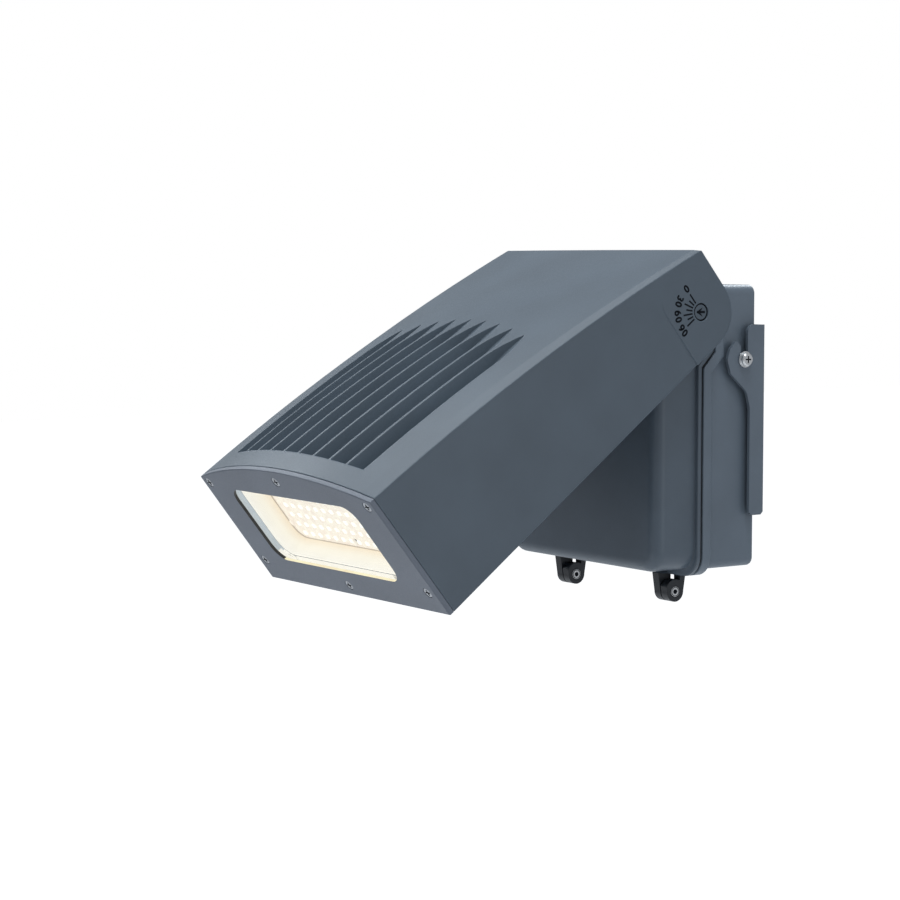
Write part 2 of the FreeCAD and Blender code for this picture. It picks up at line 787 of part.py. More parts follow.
def cover_holes():
    inner = box_half - cast_wall
    before = -box_front - beyond
    holes = both_sides(rod_x(pivot_bolt_radius + slip, inner - beyond, trunnion_end + beyond, 0, 0))
    spot_start = inner - lock_washer_thickness - pivot_nut_height - beyond
    holes += both_sides(rod_x(lock_washer_radius + slip * 5, spot_start, inner, 0, 0))
    seat = -box_front + cover_screw_head_height + slip
    for x in (cover_screw_x, -cover_screw_x):
        holes.append(rod_y(cover_screw_radius + slip, x, before, seam_upper, cover_screw_z))
        holes.append(rod_y(cover_screw_head_radius + slip, x, before, seat, cover_screw_z))
    holes.append(rod_y(gland_radius, 0, before, -box_front + cast_wall + beyond, -gland_z))
    pin_radius = hinge_screw_radius + slip * 2
    for centre in hinge_centres():
        holes.append(rod_x(pin_radius, centre - hinge_lug_thickness * 2, centre, hinge_y, -hinge_drop))
    for x, z in driver_screw_places():
        depth = -box_front + cast_wall + driver_tab_thickness - driver_screw_length - slip
        holes.append(rod_y(driver_screw_radius + slip, x, depth, -box_front + cast_wall + beyond, z))
    return holes


def cover_screws():
    screws = []
    for x in (cover_screw_x, -cover_screw_x):
        seat = -box_front + cover_screw_head_height + slip
        head = rod_y(cover_screw_head_radius, x, seat - cover_screw_head_height, seat, cover_screw_z)
        end = seam_upper + seal_thickness / 2 + cover_screw_grip
        shank = rod_y(cover_screw_radius, x, seat, end, cover_screw_z)
        top = V(x, seat - cover_screw_head_height, cover_screw_z)
        socket = hexagon(cover_socket_flats, top, V(0, socket_depth, 0))
        screws.append(fuse([head, shank]).cut(socket))
    return screws


def housing_box(inset, y_back):
    """Box behind the seam, smaller by the inset on every side."""
    radius = housing_corner_radius - inset
    bottom = -box_bottom + inset
    return panel(box_half - inset, bottom, box_top - inset, radius, seam_lower - beyond, y_back)


def back_housing():
    outer = housing_box(0.0, box_back)
    back_rim = [edge for edge in outer.Edges if edge.BoundBox.YMin > box_back - slip]
    outer = outer.makeFillet(housing_edge_radius, back_rim)
    outer = outer.common(behind_seam(seal_thickness / 2))
    band = seam_band(seal_thickness / 2, seal_thickness / 2 + housing_flange, head_half)
    flange = flange_panel(0.0, -box_front, bracket_wall_y).common(band)
    shell = fuse([outer, flange] + housing_lugs())
    shell = shell.cut(housing_box(cast_wall, box_back - cast_wall))
    shell = fuse([shell] + housing_bosses())
    return cut(shell, housing_holes())


def housing_bosses():
    bosses = []
    inner_back = box_back - cast_wall / 2
    start = seam_upper + seal_thickness / 2
    for x in (cover_screw_x, -cover_screw_x):
        bosses.append(rod_y(screw_boss_radius, x, start, inner_back, cover_screw_z))
    hang = rod_x(screw_boss_radius, hang_boss_start, box_half - cast_wall, hook_y, -hook_z)
    bosses += both_sides(hang)
    boss_front = box_back - cast_wall - ground_boss_height
    bosses.append(rod_y(ground_head_radius, ground_x, boss_front, inner_back, -ground_z))
    return bosses


def housing_holes():
    start = seam_upper
    holes = []
    for x in (cover_screw_x, -cover_screw_x):
        depth = seam_upper + seal_thickness / 2 + cover_screw_grip + beyond
        holes.append(rod_y(cover_screw_radius + slip, x, start, depth, cover_screw_z))
    inside = box_back - cast_wall
    hang = rod_x(hang_thread_radius + slip, hang_boss_start - beyond, bracket_half, hook_y, -hook_z)
    holes += both_sides(hang)
    holes.append(rod_y(wire_entry_radius, 0, inside - beyond, box_back + beyond, plate_middle_z))
    boss_front = inside - ground_boss_height
    holes.append(rod_y(ground_radius + slip, ground_x, boss_front - beyond, inside, -ground_z))
    for centre in hinge_centres():
        far = centre + hinge_lug_thickness * 2
        holes.append(rod_x(hinge_screw_radius + slip, centre, far, hinge_y, -hinge_drop))
        holes.append(rod_x(hinge_head_radius + slip * 5, hinge_seat(centre), far, hinge_y, -hinge_drop))
    return holes


def housing_seal():
    """Rubber seal between the two flanges."""
    outer = flange_panel(seal_inset, -box_front, bracket_wall_y)
    ring = outer.cut(box_inside(-box_front - beyond, bracket_wall_y + beyond))
    return ring.common(seam_band(-seal_thickness / 2, seal_thickness / 2, head_half))


# ---- hinge hardware ----

def hinge_seat(centre):
    """Face in the housing lug that the screw head bears on."""
    return centre + hinge_lug_gap / 2 + hinge_lug_thickness - hinge_head_height


def hinge_screws():
    screws = []
    for centre in hinge_centres():
        seat = hinge_seat(centre)
        head = rod_x(hinge_head_radius, seat, seat + hinge_head_height, hinge_y, -hinge_drop)
        end = centre - hinge_lug_gap / 2 - hinge_lug_thickness - hinge_nut_height - beyond
        shank = rod_x(hinge_screw_radius, end, seat, hinge_y, -hinge_drop)
        floor = V(seat + hinge_head_height - socket_depth, hinge_y, -hinge_drop)
        socket = hexagon(socket_flats, floor, V(socket_depth + beyond, 0, 0))
        screws.append(fuse([head, shank]).cut(socket))
    return screws


def hinge_nuts():
    nuts = []
    for centre in hinge_centres():
        face = centre - hinge_lug_gap / 2 - hinge_lug_thickness - slip
        start = V(face - hinge_nut_height, hinge_y, -hinge_drop)
        nut = hexagon(hinge_nut_flats, start, V(hinge_nut_height, 0, 0))
        far = face - hinge_nut_height - beyond
        bore = rod_x(hinge_screw_radius + slip / 2, far, face + beyond, hinge_y, -hinge_drop)
        nuts.append(nut.cut(bore))
    return nuts


# ---- wall bracket ----

def bracket_flange():
    """Side flange with the open hook slot, drawn on the +X side."""
    back = bracket_wall_y
    slot_front = hook_y - hook_radius
    slot_back = hook_y + hook_radius
    places = [(back, -bracket_top, 0.0), (back, -bracket_bottom + flange_toe, 0.0)]
    places += [(back - flange_toe, -bracket_bottom, 0.0), (bracket_front, -bracket_bottom, 4.0)]
    places += [(bracket_front, -hook_z - 33, 8.0), (bracket_front - 3, -hook_z - 22, 10.0)]
    places += [(hook_nose + 3, -hook_z - 9.5, 3.0), (hook_nose, -hook_z, 3.0)]
    places += [(hook_nose + 2.2, -hook_tip_z - 6, 3.0), (hook_nose + 7.8, -hook_tip_z, 1.5)]
    places += [(slot_front, -hook_tip_z - 4, 1.0), (slot_front, -hook_z, 0.0)]
    places += [(slot_back, -hook_z, 0.0), (slot_back, -bracket_top, hook_mouth_radius)]
    outline = [(y, z) for y, z, radius in places]
    radii = [radius for y, z, radius in places]
    inner_face = bracket_half - bracket_thickness
    plate = side_prism(outline, inner_face, bracket_half, radii)
    return plate.cut(rod_x(hook_radius, inner_face - beyond, bracket_half + beyond, hook_y, -hook_z))


def wall_slot(x, z):
    """Slotted hole through the back plate, long along X."""
    reach = bracket_slot_length / 2 - bracket_slot_radius
    y_from = bracket_wall_y - bracket_thickness - beyond
    y_to = bracket_wall_y + beyond
    ends = [rod_y(bracket_slot_radius, x + side * reach, y_from, y_to, z) for side in (-1, 1)]
    middle = block(x - reach, x + reach, y_from, y_to, z - bracket_slot_radius, z + bracket_slot_radius)
    return fuse(ends + [middle])


def wall_bracket():
    plate_front = bracket_wall_y - bracket_thickness
    foot = -bracket_bottom + flange_toe
    plate = block(-bracket_half, bracket_half, plate_front, bracket_wall_y, foot, -bracket_top)
    bracket = fuse([plate] + both_sides(bracket_flange()))
    holes = [rod_y(bracket_wire_radius, 0, plate_front - beyond, bracket_wall_y + beyond, plate_middle_z)]
    for x in (-bracket_slot_x, bracket_slot_x):
        for z in (-bracket_slot_z, bracket_slot_z):
            holes.append(wall_slot(x, plate_middle_z + z))
    return cut(bracket, holes)


def hang_screw():
    """Shoulder screw in the housing side; its shoulder rests in the hook slot."""
    shoulder_end = bracket_half + running
    face = shoulder_end + hang_washer_thickness
    shoulder = rod_x(hang_shoulder_radius, box_half + slip, shoulder_end, hook_y, -hook_z)
    thread = rod_x(hang_thread_radius, hang_boss_start, face + beyond, hook_y, -hook_z)
    head = rod_x(hang_head_radius, face, face + hang_head_height, hook_y, -hook_z)
    rim = [edge for edge in head.Edges if edge.BoundBox.XMin > face + hang_head_height - slip]
    return fuse([thread, shoulder, head.makeChamfer(hang_head_chamfer, rim)])


def hang_washer():
    start = bracket_half + running
    end = start + hang_washer_thickness
    ring = rod_x(hang_washer_radius, start, end, hook_y, -hook_z)
    return ring.cut(rod_x(hang_thread_radius + slip, start - beyond, end + beyond, hook_y, -hook_z))


# ---- inside the box ----

def driver_screw_places():
    low = -driver_top - driver_height - driver_tab / 2
    high = -driver_top + driver_tab / 2
    return [(x, z) for x in (-driver_screw_x, driver_screw_x) for z in (low, high)]


def led_driver():
    face = -box_front + cast_wall
    bottom = -driver_top - driver_height
    can = block(-driver_width / 2, driver_width / 2, face, face + driver_depth, bottom, -driver_top)
    upright = [edge for edge in can.Edges if edge.BoundBox.YLength > driver_depth - slip]
    can = can.makeFillet(driver_corner, upright)
    tab_face = face + driver_tab_thickness
    low = bottom - driver_tab
    foot = panel(driver_width / 2, low, -driver_top + driver_tab, driver_corner, face, tab_face)
    driver = fuse([can, foot])
    for x, z in driver_screw_places():
        hole = rod_y(driver_screw_radius + slip, x, face - beyond, tab_face + beyond, z)
        driver = driver.cut(hole)
    return driver


def driver_screws():
    screws = []
    for x, z in driver_screw_places():
        face = -box_front + cast_wall + driver_tab_thickness
        head = rod_y(driver_screw_head_radius, x, face, face + driver_screw_head_height, z)
        shank = rod_y(driver_screw_radius, x, face - driver_screw_length, face, z)
        screws.append(fuse([head, shank]))
    return screws


def terminal_block():
    back = box_back - cast_wall
    half = terminal_width / 2
    z_from = -terminal_z - terminal_height / 2
    body = block(-half, half, back - terminal_depth, back, z_from, z_from + terminal_height)
    front = back - terminal_depth
    top = z_from + terminal_height
    side = half + beyond
    step = block(-side, side, front - beyond, front + terminal_step, top - terminal_step, top + beyond)
    body = body.cut(step)
    pitch = terminal_width / terminal_poles
    bore_y = front + terminal_bore_inset
    for pole in range(terminal_poles):
        x = (pole - (terminal_poles - 1) / 2) * pitch
        start = V(x, bore_y, z_from - beyond)
        entry = Part.makeCylinder(terminal_bore_radius, terminal_height, start, V(0, 0, 1))
        screw_well = rod_y(terminal_bore_radius, x, front - beyond, bore_y, z_from + terminal_step * 0.75)
        body = cut(body, [entry, screw_well])
    return body


def ground_screw():
    face = box_back - cast_wall - ground_boss_height
    head = rod_y(ground_head_radius, ground_x, face - ground_head_height, face, -ground_z)
    shank = rod_y(ground_radius, ground_x, face, face + ground_boss_height - beyond, -ground_z)
    return fuse([head, shank])


def wire_grommet():
    """Rubber grommet of the supply entry, lipped on the inside of the housing."""
    z = plate_middle_z
    inside = box_back - cast_wall
    neck = rod_y(wire_entry_radius - slip, 0, inside, box_back, z)
    lip = rod_y(wire_entry_radius + grommet_lip, 0, inside - grommet_lip_thickness, inside, z)
    bore = rod_y(wire_entry_radius - grommet_wall, 0, inside - grommet_lip - beyond, box_back + beyond, z)
    return fuse([neck, lip]).cut(bore)


def lead_gland():
    """Gland on the cover for the lamp lead: hexagon outside, nut inside."""
    face = -box_front
    collar = hexagon(gland_flats, V(0, face - gland_collar, -gland_z), V(0, gland_collar, 0))
    tip = V(0, face - gland_height, -gland_z)
    nut = Part.makeCone(gland_radius, gland_flats / 2 - slip, gland_height - gland_collar, tip, V(0, 1, 0))
    stem = rod_y(gland_radius - slip, 0, face, face + cast_wall, -gland_z)
    bore = rod_y(lead_radius, 0, face - gland_height - beyond, face + cast_wall + beyond, -gland_z)
    return fuse([collar, nut, stem]).cut(bore)


# ---- placing and writing ----

def to_frame(shape):
    """From the pivot axis to the centre of the bracket's wall face."""
    moved = shape.copy()
    moved.translate(V(0, -bracket_wall_y, -plate_middle_z))
    return moved


def swung(shape):
    """From the level head to the head at rest."""
    turned = shape.copy()
    turned.rotate(V(0, 0, 0), V(1, 0, 0), rest_tilt)
    return turned


def write(name, shapes, in_head=False):
    placed = []
    for shape in shapes:
        solids = shape.Solids
        if in_head:
            solids = [swung(solid) for solid in solids]
        placed += [to_frame(solid) for solid in solids]
    whole = placed[0] if len(placed) == 1 else Part.makeCompound(placed)
    whole.exportStep("parts/" + name + ".step")


def main():
    os.makedirs("parts", exist_ok=True)
    write("wall_bracket", [wall_bracket()])
    write("back_housing", [back_housing()])
    write("hang_screws", both_sides(hang_screw()))
    write("hang_washers", both_sides(hang_washer()))
    write("wire_grommet", [wire_grommet()])
    write("terminal_block", [terminal_block()])
    write("ground_screw", [ground_screw()])
    write("housing_seal", [housing_seal()])
    write("hinge_screws", hinge_screws())
    write("hinge_nuts", hinge_nuts())
    write("front_cover", [front_cover()])
    write("cover_screws", cover_screws())
    write("led_driver", [led_driver()])
    write("driver_screws", driver_screws())
    write("lead_gland", [lead_gland()])
    write("pivot_bolts", both_sides(pivot_bolt()))
    write("pivot_washers", both_sides(pivot_washer()))
    write("pivot_lock_washers", both_sides(lock_washer()))
    write("pivot_nuts", both_sides(pivot_nut()))
    write("head_casting", [head_casting()], in_head=True)
    write("lead_grommet", [lead_grommet()], in_head=True)
    write("thermal_pad", [thermal_pad()], in_head=True)
    write("led_board", [led_board()], in_head=True)
    write("led_chips", led_chips(), in_head=True)
    write("board_screws", board_screws(), in_head=True)
    write("reflector", [reflector()], in_head=True)
    write("lens_glass", [lens_glass()], in_head=True)
    write("lens_gasket", [lens_gasket()], in_head=True)
    write("bezel_frame", [bezel_frame()], in_head=True)
    write("bezel_screws", bezel_screws(), in_head=True)


main()
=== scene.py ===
import json
from math import cos, pi, radians, sin

import bpy
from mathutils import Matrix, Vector
from mathutils.bvhtree import BVHTree

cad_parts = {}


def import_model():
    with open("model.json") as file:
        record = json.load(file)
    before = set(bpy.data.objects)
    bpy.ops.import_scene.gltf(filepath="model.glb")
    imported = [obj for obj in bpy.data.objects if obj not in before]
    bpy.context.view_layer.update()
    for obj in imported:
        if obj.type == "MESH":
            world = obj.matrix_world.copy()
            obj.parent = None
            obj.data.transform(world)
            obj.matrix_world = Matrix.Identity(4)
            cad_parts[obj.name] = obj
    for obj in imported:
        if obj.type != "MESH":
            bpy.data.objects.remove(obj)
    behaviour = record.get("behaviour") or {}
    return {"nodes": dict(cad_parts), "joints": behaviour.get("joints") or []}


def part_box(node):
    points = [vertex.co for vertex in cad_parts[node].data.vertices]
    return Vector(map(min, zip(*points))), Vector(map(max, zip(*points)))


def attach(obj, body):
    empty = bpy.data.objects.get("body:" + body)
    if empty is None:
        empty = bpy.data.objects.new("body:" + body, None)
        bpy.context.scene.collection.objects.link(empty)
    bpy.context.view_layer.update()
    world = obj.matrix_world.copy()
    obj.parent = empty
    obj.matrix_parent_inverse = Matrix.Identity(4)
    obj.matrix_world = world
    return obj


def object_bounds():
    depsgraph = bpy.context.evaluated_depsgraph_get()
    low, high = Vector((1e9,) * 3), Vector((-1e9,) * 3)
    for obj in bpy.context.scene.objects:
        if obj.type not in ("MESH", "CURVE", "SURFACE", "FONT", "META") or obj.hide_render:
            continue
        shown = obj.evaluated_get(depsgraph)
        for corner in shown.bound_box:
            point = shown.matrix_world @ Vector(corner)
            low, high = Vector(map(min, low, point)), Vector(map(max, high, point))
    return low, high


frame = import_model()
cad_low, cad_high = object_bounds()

# Lengths are metres in the frame of the CAD part: the wall is the plane y = 0, +Z is up, and
# the lamp head points along -Y and down.

MM = 0.001
rest_tilt = radians(38.0)      # optical axis below level

# Camera of the photograph, about the head's pivot.
camera_from_pivot = Vector((1350.36, -1036.16, 34.98)) * MM
camera_azimuth = radians(56.0)
camera_elevation = radians(4.48)
camera_lens = 97.64            # mm
camera_sensor = 36.0

# Dial on the ear, distances from the pivot axis.
tick_start = 7.4 * MM
tick_long = 14.8 * MM
tick_short = 12.4 * MM
tick_width = 1.0 * MM
digit_radius = 19.4 * MM
digit_height = 5.0 * MM
digit_advance = 0.86           # from digit to digit, share of the height
digit_stroke = 0.24            # share of the digit's height
# Painted shade round the pivot disc, inner and outer radius.
disc_ring = (4.95 * MM, 5.65 * MM)
mark_rise = 0.12 * MM          # dial marks stand this proud of the paint
dial_step = 15                 # degrees from tick to tick
dial_end = 90

# Places in the head, along its axis and above it, from the pivot axis.
lip_back = 269.0 * MM          # lip of the front frame, in front of the glass
glass_back = 264.4 * MM
board_front = 249.3 * MM
window_half_width = 77.0 * MM
window_foot = -1.0 * MM
window_head = 62.0 * MM
glass_overlap = 5.5 * MM       # glass hidden behind the frame
fins_start = 75.0 * MM
fins_end = 256.0 * MM
fins_low = 30.0 * MM           # no channel lies lower than this
fin_pitch = 18.0 * MM

# Dark marks of painted shade that stand for the screws' recesses. The frame's screws are given
# across the head and above its axis.
frame_screw_face = 270.8 * MM
frame_screws = [
    (0.0, 75.2 * MM), (0.0, -14.1 * MM),
    (100.0 * MM, 65.0 * MM), (-100.0 * MM, 65.0 * MM),
    (101.0 * MM, -5.5 * MM), (-101.0 * MM, -5.5 * MM),
]
frame_cross = (2.3 * MM, 0.45 * MM)    # reach and half width of an arm
hang_cross = (2.4 * MM, 0.5 * MM)
socket_radius = 1.7 * MM       # hexagon socket of the hinge screws
# Painted shade round the hinge screws' heads, inner and outer radius.
screw_ring = (2.75 * MM, 3.2 * MM)
ring_steps = 48

# Room and lights. A softbox has a name, a place from the middle of the light, and its width,
# height and watts.
floor_half = 12.0
floor_height = -0.85
floor_seen_glow = 0.72
sky_strength = 0.40
cool = (0.90, 0.96, 1.0)
softboxes = [
    ("top_softbox", (-0.35, -0.25, 1.7), 1.3, 1.5, 18.0),
    ("edge_softbox", (0.65, -0.1, 1.6), 0.3, 0.9, 8.0),
    ("back_softbox", (-0.6, 1.4, 1.1), 0.7, 0.7, 12.0),
    ("left_softbox", (-1.7, -0.35, 1.15), 0.8, 0.8, 8.0),
    ("front_softbox", (0.1, -2.1, -0.3), 0.9, 0.9, 2.6),
    ("side_softbox", (1.8, 0.7, 0.2), 0.8, 1.2, 3.0),
]

joint = {entry["name"]: entry for entry in frame["joints"]}
pivot = Vector(joint["head_tilt"]["pos_m"])
nodes = frame["nodes"]
rightward = Vector((1, 0, 0))
wallward = Vector((0, 1, 0))
upward = Vector((0, 0, 1))
along_axis = Vector((0.0, -cos(rest_tilt), -sin(rest_tilt)))
above_axis = Vector((0.0, -sin(rest_tilt), cos(rest_tilt)))


# ---- materials ----

# Painted glow on the walls of the reflector, from the board to the glass: share of the depth and
# colour.
joint_brown = (0.30, 0.20, 0.11)
wall_tones = [(0.035, (0.34, 0.23, 0.13)), (0.07, (0.90, 0.74, 0.52)), (0.45, (0.95, 0.89, 0.74))]
glass_end_white = (0.96, 0.94, 0.86)
lit_roughness = 0.42


def new_material(name):
    material = bpy.data.materials.new(name)
    material.use_nodes = True
    tree = material.node_tree
    return material, tree, tree.nodes["Principled BSDF"]


def noise(tree, scale, detail=2.0):
    """Noise texture in the object's own coordinates."""
    place = tree.nodes.new("ShaderNodeTexCoord")
    texture = tree.nodes.new("ShaderNodeTexNoise")
    texture.inputs["Scale"].default_value = scale
    texture.inputs["Detail"].default_value = detail
    tree.links.new(place.outputs["Object"], texture.inputs["Vector"])
    return texture


def remap(tree, source, low, high, from_low=0.3, from_high=0.7):
    node = tree.nodes.new("ShaderNodeMapRange")
    node.inputs["From Min"].default_value = from_low
    node.inputs["From Max"].default_value = from_high
    node.inputs["To Min"].default_value = low
    node.inputs["To Max"].default_value = high
    tree.links.new(source, node.inputs["Value"])
    return node.outputs["Result"]


def blend_colours(tree, factor, first, second):
    """Mix of two colours by the factor; the first may be a node's output."""
    node = tree.nodes.new("ShaderNodeMix")
    node.data_type = "RGBA"
    if isinstance(first, tuple):
        node.inputs["A"].default_value = (*first, 1.0)
    else:
        tree.links.new(first, node.inputs["A"])
    node.inputs["B"].default_value = (*second, 1.0)
    tree.links.new(factor, node.inputs["Factor"])
    return node.outputs["Result"]


def cloudy(tree, cloud, first, second):
    """Colour that drifts between two with the noise."""
    return blend_colours(tree, remap(tree, cloud.outputs["Fac"], 0.0, 1.0), first, second)


def scaled(colour, share):
    return tuple(min(1.0, channel * share) for channel in colour)


def rounded_normal(tree, radius):
    """Normal of the surface as if its edges were rounded."""
    node = tree.nodes.new("ShaderNodeBevel")
    node.samples = 6
    node.inputs["Radius"].default_value = radius
    return node.outputs["Normal"]


def bump(tree, height, strength, distance, edge_radius):
    """Bump on top of softly rounded edges."""
    node = tree.nodes.new("ShaderNodeBump")
    node.inputs["Strength"].default_value = strength
    node.inputs["Distance"].default_value = distance
    tree.links.new(height, node.inputs["Height"])
    tree.links.new(rounded_normal(tree, edge_radius), node.inputs["Normal"])
    return node.outputs["Normal"]


def edge_share(tree, radius):
    """Nought on open faces, towards one where the surface turns over an edge."""
    face = tree.nodes.new("ShaderNodeNewGeometry")
    match = tree.nodes.new("ShaderNodeVectorMath")
    match.operation = "DOT_PRODUCT"
    tree.links.new(rounded_normal(tree, radius), match.inputs[0])
    tree.links.new(face.outputs["Normal"], match.inputs[1])
    return remap(tree, match.outputs["Value"], 1.0, 0.0, 0.80, 0.99)


def powder_coat(name, colour, edge_radius, roughness=(0.40, 0.52), relief=0.16, edge_highlight_gain=1.0):
    """Fine-textured satin powder coat with a slight mottle, and a paler painted highlight where the
    surface turns over an edge.
    """
    material, tree, shader = new_material(name)
    grain = noise(tree, scale=1100.0, detail=3.0)
    mottle = noise(tree, scale=22.0, detail=4.0)
    tint = cloudy(tree, mottle, scaled(colour, 0.93), scaled(colour, 1.07))
    # Painted highlight: the colour turns paler over rounded edges.
    if edge_highlight_gain > 1.0:
        tint = blend_colours(tree, edge_share(tree, edge_radius), tint, scaled(colour, edge_highlight_gain))
    tree.links.new(tint, shader.inputs["Base Color"])
    tree.links.new(remap(tree, grain.outputs["Fac"], *roughness), shader.inputs["Roughness"])
    relieved = bump(tree, grain.outputs["Fac"], relief, distance=0.12 * MM, edge_radius=edge_radius)
    tree.links.new(relieved, shader.inputs["Normal"])
    return material


def bright_metal(name, colour, roughness=(0.18, 0.32)):
    """Turned stainless steel with fine marks."""
    material, tree, shader = new_material(name)
    marks = noise(tree, scale=2600.0, detail=3.0)
    stain = noise(tree, scale=260.0, detail=3.0)
    tint = cloudy(tree, stain, scaled(colour, 0.82), colour)
    tree.links.new(tint, shader.inputs["Base Color"])
    shader.inputs["Metallic"].default_value = 1.0
    tree.links.new(remap(tree, marks.outputs["Fac"], *roughness), shader.inputs["Roughness"])
    turned = bump(tree, marks.outputs["Fac"], 0.15, distance=0.05 * MM, edge_radius=0.3 * MM)
    tree.links.new(turned, shader.inputs["Normal"])
    return material


def moulded(name, colour, roughness=(0.45, 0.6), shine=0.5):
    """Moulded rubber or plastic with a fine spark-eroded grain."""
    material, tree, shader = new_material(name)
    grain = noise(tree, scale=1500.0)
    cloud = noise(tree, scale=60.0, detail=3.0)
    tint = cloudy(tree, cloud, colour, scaled(colour, 1.15))
    tree.links.new(tint, shader.inputs["Base Color"])
    tree.links.new(remap(tree, grain.outputs["Fac"], *roughness), shader.inputs["Roughness"])
    shader.inputs["Specular IOR Level"].default_value = shine
    eroded = bump(tree, grain.outputs["Fac"], 0.2, distance=0.08 * MM, edge_radius=0.3 * MM)
    tree.links.new(eroded, shader.inputs["Normal"])
    return material


def glowing(name, colour, glow, strength, mottle_scale, spread=0.12):
    """Surface in the lamps' light, painted on as a glow, a little unevenly, over its own colour."""
    material, tree, shader = new_material(name)
    cloud = noise(tree, scale=mottle_scale)
    tint = cloudy(tree, cloud, scaled(glow, 1 - spread), scaled(glow, 1 + spread))
    tree.links.new(tint, shader.inputs["Emission Color"])
    shader.inputs["Emission Strength"].default_value = strength
    base = cloudy(tree, cloud, colour, scaled(colour, 0.97))
    tree.links.new(base, shader.inputs["Base Color"])
    shader.inputs["Roughness"].default_value = lit_roughness
    return material


def reflector_white(name):
    """White wall whose light from the lamps is painted on as a glow: brightest at the glass, brown
    where it meets the board.
    """
    material, tree, shader = new_material(name)
    place = tree.nodes.new("ShaderNodeTexCoord")
    along = tree.nodes.new("ShaderNodeVectorMath")
    along.operation = "DOT_PRODUCT"
    along.inputs[1].default_value = along_axis
    tree.links.new(place.outputs["Object"], along.inputs[0])
    start = pivot.dot(along_axis) + board_front
    depth = remap(tree, along.outputs["Value"], 0.0, 1.0, start, start + glass_back - board_front)
    ramp = tree.nodes.new("ShaderNodeValToRGB")
    ramp.color_ramp.elements[0].color = (*joint_brown, 1.0)
    ramp.color_ramp.elements[1].color = (*glass_end_white, 1.0)
    for position, colour in wall_tones:
        element = ramp.color_ramp.elements.new(position)
        element.color = (*colour, 1.0)
    tree.links.new(depth, ramp.inputs["Fac"])
    cloud = noise(tree, scale=60.0)
    mottle = tree.nodes.new("ShaderNodeMix")
    mottle.data_type = "RGBA"
    mottle.blend_type = "MULTIPLY"
    mottle.inputs["Factor"].default_value = 1.0
    tree.links.new(ramp.outputs["Color"], mottle.inputs["A"])
    shade = cloudy(tree, cloud, (0.96, 0.96, 0.95), (1.0, 1.0, 1.0))
    tree.links.new(shade, mottle.inputs["B"])
    tree.links.new(mottle.outputs["Result"], shader.inputs["Emission Color"])
    shader.inputs["Emission Strength"].default_value = 0.86
    base = blend_colours(tree, cloud.outputs["Fac"], (0.24, 0.23, 0.20), (0.26, 0.25, 0.22))
    tree.links.new(base, shader.inputs["Base Color"])
    shader.inputs["Roughness"].default_value = lit_roughness
    return material


def clear_glass(name):
    """Thin clear pane; faint smears change its gloss."""
    material, tree, shader = new_material(name)
    smear = noise(tree, scale=45.0, detail=3.0)
    tint = cloudy(tree, smear, (0.84, 0.92, 0.95), (0.9, 0.95, 0.97))
    tree.links.new(tint, shader.inputs["Base Color"])
    tree.links.new(remap(tree, smear.outputs["Fac"], 0.03, 0.08), shader.inputs["Roughness"])
    shader.inputs["Alpha"].default_value = 0.10
    return material


def dress(name, material):
    """Gives a node of the CAD part this material alone."""
    mesh = nodes[name].data
    mesh.materials.clear()
    mesh.materials.append(material)


slate = (0.084, 0.111, 0.141)
head_coat = powder_coat("head_coat", slate, 1.5 * MM, (0.36, 0.48), edge_highlight_gain=1.6)
# Lighter copy of the slate coat on the faces between the fins: painted light against the shade
# there.
channel_coat_painted_light = powder_coat("channel_coat_painted_light", (0.145, 0.182, 0.220), 0.4 * MM, (0.45, 0.6), relief=0.5)
cover_coat = powder_coat("cover_coat", (0.090, 0.117, 0.148), 2.5 * MM, (0.30, 0.42))
# Lighter copy of the slate coat on the housing: painted light.
housing_coat_painted_light = powder_coat(
    "housing_coat_painted_light", (0.134, 0.168, 0.208), 2.0 * MM, (0.32, 0.44), edge_highlight_gain=1.4)
lug_black_and_lip_shade = powder_coat("lug_black_and_lip_shade", (0.018, 0.021, 0.026), 0.4 * MM, (0.3, 0.42))
# Lighter copy of the slate coat on the front frame: painted light on the bezel, which faces down.
frame_coat_painted_light = powder_coat("frame_coat_painted_light", (0.146, 0.167, 0.206), 0.3 * MM)
# Lighter copy of the slate coat on the bracket: painted light.
bracket_coat_painted_light = powder_coat("bracket_coat_painted_light", (0.128, 0.160, 0.198), 0.4 * MM)
bolt_coat = powder_coat("bolt_coat", (0.078, 0.103, 0.131), 0.4 * MM)
stainless = bright_metal("stainless", (0.82, 0.83, 0.84))
dull_steel = bright_metal("dull_steel", (0.55, 0.57, 0.60), (0.30, 0.45))
green_steel = powder_coat("green_steel", (0.03, 0.20, 0.06), 0.3 * MM)
rubber = moulded("rubber", (0.012, 0.012, 0.013), (0.6, 0.75))
black_plastic = moulded("black_plastic", (0.018, 0.018, 0.020))
cream_plastic = moulded("cream_plastic", (0.62, 0.60, 0.52))
driver_metal = bright_metal("driver_metal", (0.55, 0.56, 0.57), (0.35, 0.5))
grey_film = moulded("grey_film", (0.10, 0.10, 0.11))
# Painted light: the board and its screws glow as if lit by the chips.
board_mask_painted_glow = glowing(
    "board_mask_painted_glow", (0.25, 0.22, 0.19), (1.0, 0.86, 0.72), strength=0.84, mottle_scale=240.0)
lit_lamp = glowing(
    "lit_lamp", (0.4, 0.4, 0.35), (1.0, 0.97, 0.88), strength=0.93, mottle_scale=900.0, spread=0.03)
# Painted light: the reflector walls, the seat's lower run and the glass's lower edge glow.
wall_painted_glow = reflector_white("wall_painted_glow")
# Painted light: a pale bluish glow on the glass's seat and cut edge.
glass_edge_painted_glow = glowing(
    "glass_edge_painted_glow", (0.30, 0.33, 0.36), (0.86, 0.95, 1.0),
    strength=0.42, mottle_scale=120.0, spread=0.05)
